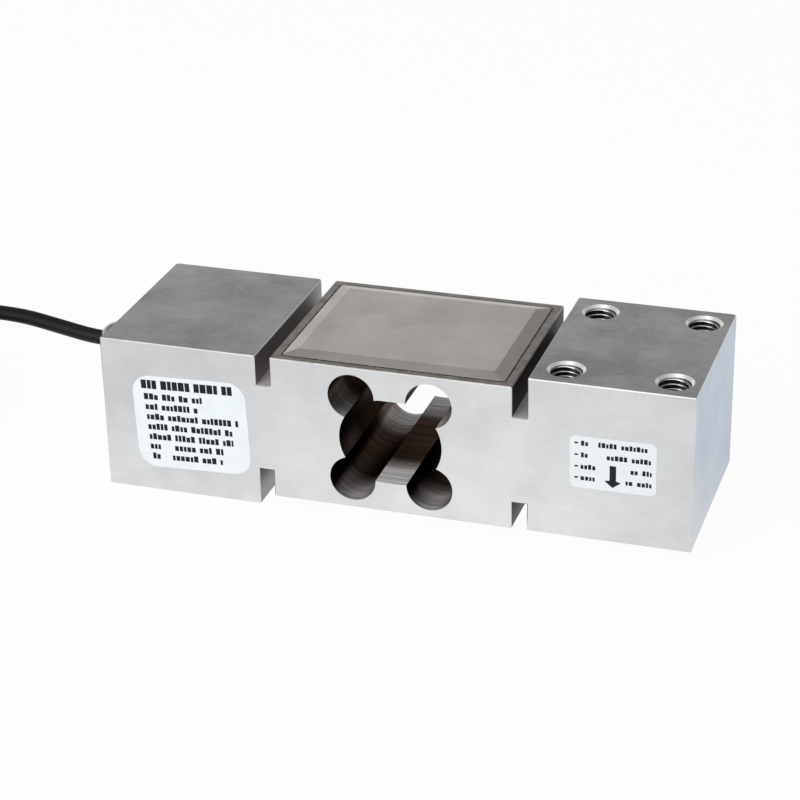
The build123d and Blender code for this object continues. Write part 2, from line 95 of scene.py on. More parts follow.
# %% [markdown]
# ## The signal cable
#
# The real cable is one three-metre length. It leaves the gland level, rises a little, droops
# past the picture's left edge and is put away there in a tied coil. A single NURBS curve can
# hold all of it: listed points where it hangs free, and a loop that works out the coil's
# turns. A round bevel then gives it its thickness, which is lighter than a tube.

# %% Cable route
CABLE_DIAMETER = 5.0 * MM
FREE_ROUTE = [
    (-105.0, 0.0, 35.9),
    (-111.6, 0.0, 35.9),
    (-123.3, 2.2, 36.7),
    (-142.9, 6.2, 37.9),
    (-166.0, 11.0, 34.8),
    (-184.3, 14.6, 27.5),
]
COIL_CENTRE = (-200.0, -18.0)
COIL_COLUMNS = (35.5, 30.5, 25.5, 20.5)
COIL_LAYERS = (18.8, 13.8, 8.8, 3.8)
STEPS_PER_TURN = 17
STEP_ANGLE = 21.6
FIRST_ANGLE = 92.0
TAIL_START = (43.0, 3.4)


def from_coil(angle, radius, z):
    """A point about the coil's centre."""
    turned = math.radians(angle)
    return COIL_CENTRE[0] + radius * math.cos(turned), COIL_CENTRE[1] + radius * math.sin(turned), z


def coil_turns():
    """Points of the coil from the top layer down, one layer inwards and the next outwards.

    In the last third of a turn the cable moves over to the next bed. A turn takes a little
    more than a full circle, so that this place walks round the coil, as when a hand winds it.
    """
    beds = []
    for number, z in enumerate(COIL_LAYERS):
        columns = COIL_COLUMNS if number % 2 == 0 else COIL_COLUMNS[::-1]
        beds += [(radius, z) for radius in columns]
    beds.append(TAIL_START)
    # A smooth curve runs inside its control points, so they stand that much further out.
    outwards = 1 / math.cos(math.radians(STEP_ANGLE / 2))
    points = []
    for step in range((len(beds) - 1) * STEPS_PER_TURN + 1):
        turn, part = divmod(step, STEPS_PER_TURN)
        here, after = beds[turn], beds[min(turn + 1, len(beds) - 1)]
        share = max(0.0, part / STEPS_PER_TURN * 3 - 2)
        radius = here[0] + (after[0] - here[0]) * share
        z = here[1] + (after[1] - here[1]) * share
        points.append(from_coil(FIRST_ANGLE + STEP_ANGLE * step, radius * outwards, z))
    return points


TAIL_ROUTE = [
    from_coil(229, 43.9, 3.2),
    from_coil(250, 44.2, 3.1),
    from_coil(270, 44.2, 3.1),
    from_coil(287, 44.6, 3.1),
]
cable_points = [Vector(p) * MM for p in FREE_ROUTE + coil_turns() + TAIL_ROUTE]
print("cable points", len(cable_points))

# %% [markdown]
# The order of a NURBS spline and its endpoint switch only take hold once the points are in,
# so they are set last. Order 3 keeps the line close to its points without kinks.

# %% Cable curve
BEVEL_STEPS = 5
CURVE_STEPS = 5


def round_curve(name, points, radius):
    """A smooth round cord along control points, in metres."""
    data = bpy.data.curves.new(name, "CURVE")
    data.dimensions = "3D"
    data.bevel_depth = radius
    data.bevel_resolution = BEVEL_STEPS
    data.resolution_u = CURVE_STEPS
    data.use_fill_caps = True
    spline = data.splines.new("NURBS")
    spline.points.add(len(points) - 1)
    for slot, point in zip(spline.points, points):
        slot.co = (*point, 1.0)
    spline.order_u = 3
    spline.use_endpoint_u = True
    piece = bpy.data.objects.new(name, data)
    scene.collection.objects.link(piece)
    return piece


signal_cable = round_curve("signal_cable", cable_points, CABLE_DIAMETER / 2)
print("cable curve", signal_cable.name)

# %% [markdown]
# ## Helpers for finishes
#
# Every finish is a node tree. A few small functions keep each tree readable: one adds a node
# and joins or sets its inputs, the others wrap the nodes that come back again and again.

# %% Node helpers
WHITE = (1.0, 1.0, 1.0)


def place(tree, kind, props=None, inputs=None):
    """Adds a node. An input is joined if it is given a socket, and set if it is given a value."""
    made = tree.nodes.new(kind)
    for name, value in (props or {}).items():
        setattr(made, name, value)
    for name, value in (inputs or {}).items():
        if isinstance(value, bpy.types.NodeSocket):
            tree.links.new(value, made.inputs[name])
        else:
            made.inputs[name].default_value = value
    return made


def math_of(tree, operation, *values):
    """The result of one Math node."""
    return place(tree, "ShaderNodeMath", {"operation": operation}, dict(enumerate(values))).outputs[0]


def product(tree, first, second):
    """First times second. Of two masks, it is 1 where both are."""
    return math_of(tree, "MULTIPLY", first, second)


def either_of(tree, first, second):
    """The greater of the two. Of two masks, it is 1 where at least one is."""
    return math_of(tree, "MAXIMUM", first, second)


def near(tree, value, centre, reach):
    """1 where value is within reach of centre, otherwise 0."""
    return math_of(tree, "COMPARE", value, centre, reach)


def along(tree, value, ends):
    """0 at the first end, 1 at the second, and evenly in between."""
    inputs = {"Value": value, "From Min": ends[0], "From Max": ends[1]}
    return place(tree, "ShaderNodeMapRange", {"clamp": True}, inputs).outputs[0]


def noise(tree, where, scale, detail=3.0, roughness=0.55):
    """Soft random clouds between 0 and 1. scale counts them per metre."""
    inputs = {"Vector": where, "Scale": scale, "Detail": detail, "Roughness": roughness}
    return place(tree, "ShaderNodeTexNoise", None, inputs).outputs[0]


def stretched(tree, where, scale):
    """Coordinates scaled per axis, for grain that runs one way."""
    return place(tree, "ShaderNodeMapping", None, {"Vector": where, "Scale": scale}).outputs[0]


def ramp(tree, value, *stops):
    """A colour or grey looked up along value. Each stop is (position, grey or colour)."""
    made = place(tree, "ShaderNodeValToRGB", None, {0: value})
    band = made.color_ramp
    while len(band.elements) < len(stops):
        band.elements.new(0.5)
    for element, (position, shade) in zip(band.elements, stops):
        element.position = position
        rgb = shade if isinstance(shade, tuple) else (shade,) * 3
        element.color = (*rgb, 1.0)
    return made.outputs[0]


def mixed(tree, share, first, second):
    """One colour where share is 0, the other where it is 1."""
    made = tree.nodes.new("ShaderNodeMix")
    made.data_type = "RGBA"
    for index, value in ((0, share), (6, first), (7, second)):
        if isinstance(value, bpy.types.NodeSocket):
            tree.links.new(value, made.inputs[index])
        elif index == 0:
            made.inputs[index].default_value = value
        else:
            made.inputs[index].default_value = (*value, 1.0)
    return made.outputs[2]


def multiplied(tree, first, second):
    """One colour times the other."""
    inputs = {0: 1.0, 1: first, 2: second}
    return place(tree, "ShaderNodeMixRGB", {"blend_type": "MULTIPLY"}, inputs).outputs[0]


def bumped(tree, height, depth, strength=1.0, under=None):
    """A surface normal tilted by height, on top of the normal under it. depth is in metres."""
    inputs = {"Height": height, "Distance": depth, "Strength": strength}
    if under is not None:
        inputs["Normal"] = under
    return place(tree, "ShaderNodeBump", None, inputs).outputs[0]


def uneven_blur(tree, shader, pattern, least, span):
    """Roughness that follows a pattern: least where it is 0, and span more where it is 1."""
    tree.links.new(math_of(tree, "MULTIPLY_ADD", pattern, span, least), shader.inputs["Roughness"])


def finish(name, color, roughness, metallic=0.0, **more):
    """A material whose even values are set on the shader itself. Returns it, its tree and its shader."""
    material = bpy.data.materials.new(name)
    material.use_nodes = True
    tree = material.node_tree
    shader = tree.nodes["Principled BSDF"]
    shader.inputs["Base Color"].default_value = (*color, 1.0)
    shader.inputs["Roughness"].default_value = roughness
    shader.inputs["Metallic"].default_value = metallic
    for key, value in more.items():
        shader.inputs[key.replace("_", " ")].default_value = value
    material.diffuse_color = (*color, 1.0)
    return material, tree, shader


def coordinates(tree):
    """Object coordinates in metres, and the surface's normal, of whatever wears the finish."""
    made = tree.nodes.new("ShaderNodeTexCoord")
    return made.outputs["Object"], made.outputs["Normal"]


def split_xyz(tree, vector):
    """The three parts of a vector."""
    return place(tree, "ShaderNodeSeparateXYZ", None, {0: vector}).outputs


print("helpers ready")

# %% [markdown]
# ## Studio
#
# The block stands on white. Its ground faces are mirrors that are a little blurred, so what
# they reflect matters more than the lamps: the white floor makes the upright faces bright,
# and the studio, which darkens above the horizon, makes the tops mid grey. A soft lamp high
# in front draws the thin bright line along each edge, and a larger one stands at the front
# left.

# %% World
# How bright the studio is at each height, from 0 at the horizon to 1 straight overhead.
SKY = ((0.16, 0.97), (0.32, 0.43), (0.43, 0.21), (0.84, 0.18), (0.93, 1.1), (1.0, 1.3))


def build_world():
    """Plain white to the camera, and a grey studio to all else."""
    world = bpy.data.worlds.new("studio")
    scene.world = world
    world.use_nodes = True
    tree = world.node_tree
    background = tree.nodes["Background"]
    direction = tree.nodes.new("ShaderNodeTexCoord").outputs["Generated"]
    height = split_xyz(tree, direction)[2]
    plain = tree.nodes.new("ShaderNodeLightPath").outputs["Is Camera Ray"]
    tree.links.new(mixed(tree, plain, ramp(tree, height, *SKY), WHITE), background.inputs["Color"])
    background.inputs["Strength"].default_value = 1.0


build_world()
print("world", scene.world.name)

# %% Lamps
EDGE_LAMP = {"direction": Vector((-0.14, -0.44, 0.87)), "distance": 1.1, "size": 0.50, "power": 0.80}
FRONT_LAMP = {"direction": Vector((-0.45, -0.80, 0.50)), "distance": 1.2, "size": 0.80, "power": 7.0}


def soft_lamp(name, direction, distance, size, power):
    """A square soft lamp that faces the origin."""
    data = bpy.data.lights.new(name, "AREA")
    data.size = size
    data.energy = power
    lamp = bpy.data.objects.new(name, data)
    lamp.location = direction.normalized() * distance
    lamp.rotation_euler = (-direction).to_track_quat("-Z", "Y").to_euler()
    scene.collection.objects.link(lamp)
    return lamp


soft_lamp("edge_lamp", **EDGE_LAMP)
soft_lamp("front_lamp", **FRONT_LAMP)
print("lamps ready")

# %% [markdown]
# The floor is a white sheet that glows only to rays that show it: straight from the camera,
# in a mirror or through glass. So it stays white however the lamps fall on it, its glow
# doesn't light the block, and a little of its plain paint is left to take the shadow.

# %% Floor
FLOOR_REACH = 4.0
GLOW_SHARE = 0.95
# Places along x or y, in metres, where a tint starts and where it is full.
FAR_SIDE = (-0.04, 0.04)
RIGHT_SIDE = (0.04, 0.08)
# The cool white is a painted reflection and the dim white is painted shade, both seen only in mirrors.
COOL_WHITE = (0.66, 0.73, 0.83)
AHEAD = (-0.05, -0.15)
LEFT_SIDE = (-0.02, -0.12)
RIGHT_END = (0.045, 0.085)
MIRROR_SHADE_WHITE = (0.88, 0.885, 0.90)


def seen_directly(tree, path):
    """1 for rays that show the white itself: straight on, in a mirror or through glass."""
    straight = either_of(tree, path["Is Camera Ray"], path["Is Glossy Ray"])
    return either_of(tree, straight, path["Is Transmission Ray"])


def build_floor():
    """The white sheet, with tints that only mirrors show.

    The tints paint a reflection and shade on the steel, which mirrors the sheet. To glossy
    rays its far right corner is cooler, a painted reflection of cool light from that side.
    Ahead, to the left and at the front right it is dimmer, painted shade on the upright faces.
    """
    mesh = bpy.data.meshes.new("floor")
    corners = [(-1, -1), (1, -1), (1, 1), (-1, 1)]
    mesh.from_pydata([(x * FLOOR_REACH, y * FLOOR_REACH, 0) for x, y in corners], [], [(0, 1, 2, 3)])
    floor = bpy.data.objects.new("floor", mesh)
    scene.collection.objects.link(floor)
    material, tree, shader = finish("white floor", (0.90, 0.90, 0.90), 0.9, Specular_IOR_Level=0.1)
    where, _ = coordinates(tree)
    path = tree.nodes.new("ShaderNodeLightPath").outputs
    share = product(tree, seen_directly(tree, path), GLOW_SHARE)
    x, y, _ = split_xyz(tree, where)
    mirrored = path["Is Glossy Ray"]
    painted_daylight = product(tree, along(tree, y, FAR_SIDE), along(tree, x, RIGHT_SIDE))
    tint = mixed(tree, product(tree, painted_daylight, mirrored), WHITE, COOL_WHITE)
    front_right = product(tree, along(tree, y, FAR_SIDE[::-1]), along(tree, x, RIGHT_END))
    for side in (along(tree, y, AHEAD), along(tree, x, LEFT_SIDE), front_right):
        tint = multiplied(tree, tint, mixed(tree, product(tree, side, mirrored), WHITE, MIRROR_SHADE_WHITE))
    glow = place(tree, "ShaderNodeEmission", None, {"Color": tint, "Strength": 1.0})
    both = place(tree, "ShaderNodeMixShader", None, {0: share, 1: shader.outputs[0], 2: glow.outputs[0]})
    tree.links.new(both.outputs[0], tree.nodes["Material Output"].inputs["Surface"])
    mesh.materials.append(material)


build_floor()
print("floor ready")

# %% [markdown]
# ## Ground steel
#
# The block is stainless steel, ground on all sides, with milled slots and a bored hole whose
# walls were never polished. One finish can carry all of that, because it knows where on the
# block a point is and which way the surface faces. Each small function below marks one region
# with a mask, which is 1 inside the region and 0 elsewhere.

# %% Regions of the block
HOLE_CENTRE = (0.5 * MM, 27.5 * MM)
HOLE_REACH = (20.1 * MM, 21.7 * MM)
HOLE_MOUTH = (14.0 * MM, 23.0 * MM)
LOBE_LEVELS = (12.6 * MM, 32.0 * MM)
SLOT_CENTRES = (-40.6 * MM, 41.6 * MM)
SLOT_REACH = 2.45 * MM
RIM_LEVELS = (3.5 * MM, 51.5 * MM)
RIM_REACH = 38.75 * MM
SAME_LEVEL = 0.2 * MM
PAD_LEVELS = (0.0, 55.0 * MM)
BOLT_CENTRES = (-69.0 * MM, 70.0 * MM)
BOLT_SPACING = (33.0 * MM, 44.0 * MM)
TAP_RADIUS = 5.06 * MM
MOUTH_RADIUS = 6.1 * MM
# The largest part of a wall's normal along the axis of its hole or slot. A cone's part is
# given as a middle and a reach.
WALL_LEAN = 0.6
SLOT_LEAN = 0.9
CONE_LEAN = (0.7, 0.12)


def inside_hole(tree, where, facing):
    """The walls of the lobed hole, without the front and back faces round it."""
    x, _, z = split_xyz(tree, where)
    beside = near(tree, x, HOLE_CENTRE[0], HOLE_REACH[0])
    box = product(tree, beside, near(tree, z, HOLE_CENTRE[1], HOLE_REACH[1]))
    return product(tree, box, near(tree, split_xyz(tree, facing)[1], 0.0, WALL_LEAN))


def in_front_lobes(tree, where):
    """The levels at which only the lobes have beds, in the hole's front half."""
    _, y, z = split_xyz(tree, where)
    below = math_of(tree, "LESS_THAN", z, LOBE_LEVELS[0])
    above = math_of(tree, "GREATER_THAN", z, LOBE_LEVELS[1])
    return product(tree, either_of(tree, below, above), math_of(tree, "LESS_THAN", y, 0.0))


def beside_slot(tree, where, centre):
    """The strip of the block that one upper and one lower slot cross."""
    return near(tree, split_xyz(tree, where)[0], centre, SLOT_REACH)


def inside_slots(tree, where, facing):
    """The walls and beds of the four cross slots."""
    strips = either_of(tree, *(beside_slot(tree, where, centre) for centre in SLOT_CENTRES))
    return product(tree, strips, near(tree, split_xyz(tree, facing)[1], 0.0, SLOT_LEAN))


def on_rim(tree, where):
    """The flat border round each welded cover."""
    x, _, z = split_xyz(tree, where)
    level_with = either_of(tree, *(near(tree, z, level, SAME_LEVEL) for level in RIM_LEVELS))
    return product(tree, level_with, near(tree, x, HOLE_CENTRE[0], RIM_REACH))


def tap_distance(tree, where):
    """Distance from the nearest tapped hole's axis. Folding x and y lays all eight holes on one."""
    x, y, _ = split_xyz(tree, where)
    folded = []
    for centre in BOLT_CENTRES:
        beside = math_of(tree, "ABSOLUTE", math_of(tree, "SUBTRACT", x, centre))
        folded.append(math_of(tree, "ABSOLUTE", math_of(tree, "SUBTRACT", beside, BOLT_SPACING[0] / 2)))
    lengthways = math_of(tree, "MINIMUM", *folded)
    across = math_of(tree, "SUBTRACT", math_of(tree, "ABSOLUTE", y), BOLT_SPACING[1] / 2)
    squares = math_of(tree, "ADD", product(tree, lengthways, lengthways), product(tree, across, across))
    return math_of(tree, "SQRT", squares)


def inside_taps(tree, distance, facing):
    """The walls of the tapped holes."""
    within = math_of(tree, "LESS_THAN", distance, TAP_RADIUS)
    return product(tree, within, near(tree, split_xyz(tree, facing)[2], 0.0, WALL_LEAN))


def on_countersinks(tree, distance, facing):
    """The cones at the mouths of the tapped holes."""
    within = math_of(tree, "LESS_THAN", distance, MOUTH_RADIUS)
    steep = math_of(tree, "ABSOLUTE", split_xyz(tree, facing)[2])
    return product(tree, within, near(tree, steep, *CONE_LEAN))


print("regions ready")

# %% [markdown]
# With the regions marked, each gets its tone. Ground faces are light and finely brushed, and
# wide faint clouds break up the flat tops, which are painted a shade darker. The hole and the
# slots are rough, with streaks left by the tool, and painted dark as shade. Walls that look up
# at the studio are painted lighter, most of all near the hole's mouths.

# %% Tones of the block
# Noise counts per metre along x, y and z. Marks are narrow along an axis with a large count.
BRUSHING = (60.0, 1300.0, 1300.0)
STREAKS = (45.0, 900.0, 45.0)
GRAIN = (350.0, 3600.0, 3600.0)
CLOUDS = {"scale": 45.0, "detail": 5.0, "roughness": 0.62}
SPECKLE = {"scale": 1700.0, "detail": 2.0, "roughness": 0.7}
CLOUD_SHARE = 0.82
BRUSHED_SHARE = 0.18
SPECKLE_SHARE = 0.30
# A factor and an offset for the tone of level faces, under the speckle.
LEVEL_TONE = (0.85, -0.07)
# Upright faces, then level ones, whose darker tones are painted shade.
UPRIGHT_TONES = ((0.36, (0.70, 0.705, 0.705)), (0.62, (0.805, 0.815, 0.81)))
SHADED_LEVEL_TONES = ((0.38, (0.50, 0.495, 0.505)), (0.60, (0.78, 0.775, 0.775)))
STREAK_TONES = ((0.34, 0.65), (0.70, 1.30))
STAIN_TONES = ((0.34, (0.37, 0.335, 0.31)), (0.68, (0.56, 0.53, 0.50)))
# Painted shade on the hole's walls, and painted light where they look up. Each pair is deep
# in the hole, then near its mouths.
HOLE_SHADE = ((0.020, 0.016, 0.014), (0.105, 0.086, 0.076))
HOLE_LIGHT = ((0.115, 0.078, 0.058), (0.88, 0.86, 0.85))
LOBE_LIGHT = (0.54, 0.52, 0.51)
# Painted shade on the walls of the right slots, then the left ones, and painted light on the beds.
SLOT_SHADE = ((0.12, 0.105, 0.10), (0.36, 0.34, 0.335))
SLOT_LIGHT = (0.62, 0.60, 0.59)
# Painted shade inside the tapped holes, between the thread ridges.
TAP_SHADE = (0.05, 0.045, 0.045)
# A painted highlight on the countersink cones.
CONE_HIGHLIGHT = (0.93, 0.93, 0.935)
# A face is level where its normal points up or down by more than this.
LEVEL_FACE = 0.9


def outer_skin(tree, where, upwards, brushing):
    """Ground faces, brushed where they stand upright, and cloudy, grainy and painted a shade darker where
    they lie level.
    """
    clouds = product(tree, noise(tree, where, **CLOUDS), CLOUD_SHARE)
    tone = math_of(tree, "ADD", clouds, product(tree, brushing, BRUSHED_SHARE))
    under = math_of(tree, "MULTIPLY_ADD", tone, *LEVEL_TONE)
    grainy = math_of(tree, "MULTIPLY_ADD", noise(tree, where, **SPECKLE), SPECKLE_SHARE, under)
    level_face = math_of(tree, "GREATER_THAN", math_of(tree, "ABSOLUTE", upwards), LEVEL_FACE)
    return mixed(tree, level_face, ramp(tree, tone, *UPRIGHT_TONES), ramp(tree, grainy, *SHADED_LEVEL_TONES))


def hole_walls(tree, where, lit, mouth, streaks):
    """Streaky walls in painted shade, with painted light near the mouths and where they look up, though less
    so in a lobe.
    """
    open_light = mixed(tree, in_front_lobes(tree, where), HOLE_LIGHT[1], LOBE_LIGHT)
    light = mixed(tree, mouth, HOLE_LIGHT[0], open_light)
    walls = mixed(tree, lit, mixed(tree, mouth, *HOLE_SHADE), light)
    return multiplied(tree, walls, ramp(tree, streaks, *STREAK_TONES))


def slot_walls(tree, where, lit):
    """Painted shade on the walls, less in the left slots, and painted light on the beds."""
    left_slots = beside_slot(tree, where, SLOT_CENTRES[0])
    return mixed(tree, lit, mixed(tree, left_slots, *SLOT_SHADE), SLOT_LIGHT)


print("tones ready")

# %% [markdown]
# One finish brings it all together. The beds of the slots, the hole near its mouths and the
# cones round the tapped holes scatter light, where the ground faces mirror it, so they are
# less metallic. Fine grooves come from noise stretched along the grinding.

# %% Ground steel
# How far up a wall's normal points where the wall starts to be lit, and where it is fully lit.
LIT_LEAN = (0.45, 1.0)
# Specular tint in the hole that dims grazing reflections, as painted shade.
HOLE_GLANCE_SHADE = (0.48, 0.45, 0.435)
CONE_SCATTER = 0.75
MOST_SCATTER = 0.70
BRUSHED_BLUR = (0.08, 0.28)
LIT_HOLE_BLUR = 0.12
SLOT_BLUR = 0.20
OPEN_BED_BLUR = 0.22
GRAIN_DEPTH = 0.003 * MM
STREAK_DEPTH = 0.018 * MM


def ground_steel():
    """One finish for the whole block, rougher where the walls are only milled, with painted shade and light
    in the hole, slots and tapped holes.
    """
    material, tree, shader = finish("ground steel", (0.68, 0.68, 0.68), 0.32, 1.0)
    where, facing = coordinates(tree)
    upwards = split_xyz(tree, facing)[2]
    in_hole = inside_hole(tree, where, facing)
    in_slots = inside_slots(tree, where, facing)
    distance = tap_distance(tree, where)
    cones = on_countersinks(tree, distance, facing)
    # Painted light on walls that look up, and near the hole's mouths, where the beds are also rougher and
    # less metallic.
    lit = along(tree, upwards, LIT_LEAN)
    mouth = along(tree, math_of(tree, "ABSOLUTE", split_xyz(tree, where)[1]), HOLE_MOUTH)
    brushing = noise(tree, stretched(tree, where, BRUSHING), 1.0)
    streaks = noise(tree, stretched(tree, where, STREAKS), 1.0, 3.0, 0.45)

    color = outer_skin(tree, where, upwards, brushing)
    # Rim stains, then painted shade and light in the slots and the hole, painted shade in the tapped holes
    # and a painted highlight on their cones.
    for mask, tone in (
        (on_rim(tree, where), ramp(tree, noise(tree, where, 300.0), *STAIN_TONES)),
        (in_slots, slot_walls(tree, where, lit)),
        (in_hole, hole_walls(tree, where, lit, mouth, streaks)),
        (inside_taps(tree, distance, facing), TAP_SHADE),
        (cones, CONE_HIGHLIGHT),
    ):
        color = mixed(tree, mask, color, tone)
    tree.links.new(color, shader.inputs["Base Color"])

    lit_hole = product(tree, in_hole, lit)
    open_bed = product(tree, lit_hole, mouth)
    blur = math_of(tree, "MULTIPLY_ADD", brushing, *BRUSHED_BLUR)
    for mask, more in ((lit_hole, LIT_HOLE_BLUR), (in_slots, SLOT_BLUR), (open_bed, OPEN_BED_BLUR)):
        blur = math_of(tree, "MULTIPLY_ADD", mask, more, blur)
    tree.links.new(blur, shader.inputs["Roughness"])

    beds = either_of(tree, open_bed, product(tree, in_slots, lit))
    scatter = either_of(tree, beds, product(tree, cones, CONE_SCATTER))
    tree.links.new(math_of(tree, "MULTIPLY_ADD", scatter, -MOST_SCATTER, 1.0), shader.inputs["Metallic"])
    tree.links.new(mixed(tree, in_hole, WHITE, HOLE_GLANCE_SHADE), shader.inputs["Specular Tint"])

    ground = bumped(tree, noise(tree, stretched(tree, where, GRAIN), 1.0, 2.0), GRAIN_DEPTH, 0.6)
    cut = product(tree, streaks, either_of(tree, in_hole, in_slots))
    tree.links.new(bumped(tree, cut, STREAK_DEPTH, 1.0, ground), shader.inputs["Normal"])
    return material


def wear(node, material):
    """Gives a CAD node its finish."""
    slots = nodes[node].material_slots
    if slots:
        for slot in slots:
            slot.material = material
    else:
        nodes[node].data.materials.append(material)


wear("spring_element", ground_steel())
print("steel on", nodes["spring_element"].name)

# %% [markdown]
# ## Rolled covers
#
# The covers are thin rolled sheet, warmer and softer than the block. A border slopes down to
# the weld all round, and where it leans to the right or to the front it is painted darker, as shade.

# %% Cover sheet
COVER_TONES = ((0.34, (0.745, 0.71, 0.667)), (0.64, (0.91, 0.87, 0.825)))
BORDER_SHADE = (0.69, 0.68, 0.675)
BORDER_LEAN = 0.08


def cover_sheet():
    """Thin rolled sheet with faint clouds, a fine grain and painted shade on the sloping border."""
    material, tree, shader = finish("cover sheet", (0.70, 0.68, 0.65), 0.42, 1.0)
    where, facing = coordinates(tree)
    skin = ramp(tree, noise(tree, where, 40.0, 5.0, 0.6), *COVER_TONES)
    rightwards, backwards, _ = split_xyz(tree, facing)
    slope = either_of(tree, rightwards, product(tree, backwards, -1.0))
    # Painted shade where the border leans right or to the front.
    border = mixed(tree, math_of(tree, "GREATER_THAN", slope, BORDER_LEAN), WHITE, BORDER_SHADE)
    tree.links.new(multiplied(tree, skin, border), shader.inputs["Base Color"])
    uneven_blur(tree, shader, noise(tree, where, 900.0, 2.0), least=0.42, span=0.12)
    grain = noise(tree, stretched(tree, where, (500.0, 4200.0, 500.0)), 1.0, 2.0)
    tree.links.new(bumped(tree, grain, GRAIN_DEPTH, 0.5), shader.inputs["Normal"])
    return material


COVER = cover_sheet()
for name in ("top_cover", "bottom_cover"):
    wear(name, COVER)
print("covers dressed")

# %% [markdown]
# ## Pieces grown by Geometry Nodes
#
# Welds and screw threads repeat one small form many times. A node tree does that from a few
# named sizes, and the same tree serves every copy. The helpers below start and end a tree,
# hang it on an object with its inputs set, and keep the result as a plain mesh.

# %% Geometry Nodes helpers
def new_tree(name, **sizes):
    """A Geometry Nodes tree whose inputs have these names and values, with its two end nodes."""
    tree = bpy.data.node_groups.new(name, "GeometryNodeTree")
    tree.interface.new_socket(name="Geometry", in_out="INPUT", socket_type="NodeSocketGeometry")
    kinds = {float: "NodeSocketFloat", tuple: "NodeSocketVector"}
    for size, value in sizes.items():
        socket = tree.interface.new_socket(name=size, in_out="INPUT", socket_type=kinds[type(value)])
        socket.default_value = value
    tree.interface.new_socket(name="Geometry", in_out="OUTPUT", socket_type="NodeSocketGeometry")
    start = tree.nodes.new("NodeGroupInput")
    end = tree.nodes.new("NodeGroupOutput")
    return tree, start, end


def close_tree(tree, end, geometry, material):
    """Ends a tree: instances become real faces, and they get their finish."""
    real = place(tree, "GeometryNodeRealizeInstances", None, {"Geometry": geometry})
    inputs = {"Geometry": real.outputs[0], "Material": material}
    dressed = place(tree, "GeometryNodeSetMaterial", None, inputs)
    tree.links.new(dressed.outputs[0], end.inputs[0])


def grow(name, tree, mesh=None, **sizes):
    """Runs a tree on a new object and returns the object with the result as its plain mesh."""
    piece = bpy.data.objects.new(name, mesh or bpy.data.meshes.new(name))
    scene.collection.objects.link(piece)
    modifier = piece.modifiers.new("grow", "NODES")
    modifier.node_group = tree
    for item in tree.interface.items_tree:
        if item.in_out == "INPUT" and item.name in sizes:
            modifier[item.identifier] = sizes[item.name]
    bpy.context.view_layer.update()
    evaluated = piece.evaluated_get(bpy.context.evaluated_depsgraph_get())
    result = bpy.data.meshes.new_from_object(evaluated)
    piece.modifiers.remove(modifier)
    piece.data = result
    result.name = name
    return piece


print("growing tools ready")

# %% [markdown]
# ## Weld seams
#
# Each cover is laser welded to the block all round. The seam is a row of tiny overlapping
# spots, darker than the steel beside them. A rounded rectangle is resampled into evenly
# spaced points, and a flattened spot of slightly random size lies along the seam at each.

# %% Weld seams
SEAM_PITCH = 0.42 * MM
SEAM_CORNER = 1.1 * MM
SEAM_GAP = 0.15 * MM
CORNER_POINTS = 6
SPOT_FORM = {"Segments": 8, "Rings": 4, "Radius": 1.0}
# Half the usual length, width and height of a spot, and the shares of it that spots keep.
SPOT_SIZE = (0.32 * MM, 0.36 * MM, 0.05 * MM)
SMALLEST_SPOT = (0.75, 0.7, 0.6)
LARGEST_SPOT = (1.2, 1.35, 1.2)
SPOT_SEED = 4
WELD_TONES = ((0.35, (0.012, 0.010, 0.009)), (0.75, (0.10, 0.085, 0.075)))


def weld_steel():
    """Dark, uneven metal that has melted."""
    material, tree, shader = finish("weld steel", (0.08, 0.065, 0.055), 0.42, 1.0)
    where, _ = coordinates(tree)
    tint = ramp(tree, noise(tree, where, 700.0), *WELD_TONES)
    tree.links.new(tint, shader.inputs["Base Color"])
    tree.links.new(bumped(tree, noise(tree, where, 5200.0), 0.01 * MM), shader.inputs["Normal"])
    return material


def spot_size(shares):
    """The usual spot's size times one share for each axis."""
    return tuple(size * share for size, share in zip(SPOT_SIZE, shares))


def seam_tree(material):
    """A tree that lays spots along a rounded rectangle."""
    tree, start, end = new_tree("weld_seam", Centre=(0.0, 0.0, 0.0), Length=0.0, Width=0.0)
    sizes = start.outputs
    loop = place(tree, "GeometryNodeCurvePrimitiveQuadrilateral", None,
                 {"Width": sizes["Length"], "Height": sizes["Width"]})
    rounded = place(tree, "GeometryNodeFilletCurve", {"mode": "POLY"}, {
        "Curve": loop.outputs[0], "Radius": SEAM_CORNER, "Count": CORNER_POINTS, "Limit Radius": True,
    })
    spaced = place(tree, "GeometryNodeResampleCurve", {"mode": "LENGTH"},
                   {"Curve": rounded.outputs[0], "Length": SEAM_PITCH})
    spot = place(tree, "GeometryNodeMeshUVSphere", None, SPOT_FORM)
    tangent = tree.nodes.new("GeometryNodeInputTangent")
    turned = place(tree, "FunctionNodeAlignRotationToVector", {"axis": "X"}, {"Vector": tangent.outputs[0]})
    uneven = place(tree, "FunctionNodeRandomValue", {"data_type": "FLOAT_VECTOR"}, {
        0: spot_size(SMALLEST_SPOT), 1: spot_size(LARGEST_SPOT), "Seed": SPOT_SEED,
    })
    spots = place(tree, "GeometryNodeInstanceOnPoints", None, {
        "Points": spaced.outputs[0], "Instance": spot.outputs[0],
        "Rotation": turned.outputs[0], "Scale": uneven.outputs[0],
    })
    moved = place(tree, "GeometryNodeTransform", None,
                  {"Geometry": spots.outputs[0], "Translation": sizes["Centre"]})
    close_tree(tree, end, moved.outputs[0], material)
    return tree


SEAM_TREE = seam_tree(weld_steel())


def weld_seam(name, cover, z):
    """The weld round one cover, just outside the cover's edge."""
    low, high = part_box(cover)
    middle = ((low[0] + high[0]) / 2, (low[1] + high[1]) / 2, z)
    length, width = (high[axis] - low[axis] + SEAM_GAP for axis in (0, 1))
    return grow(name, SEAM_TREE, Centre=middle, Length=length, Width=width)


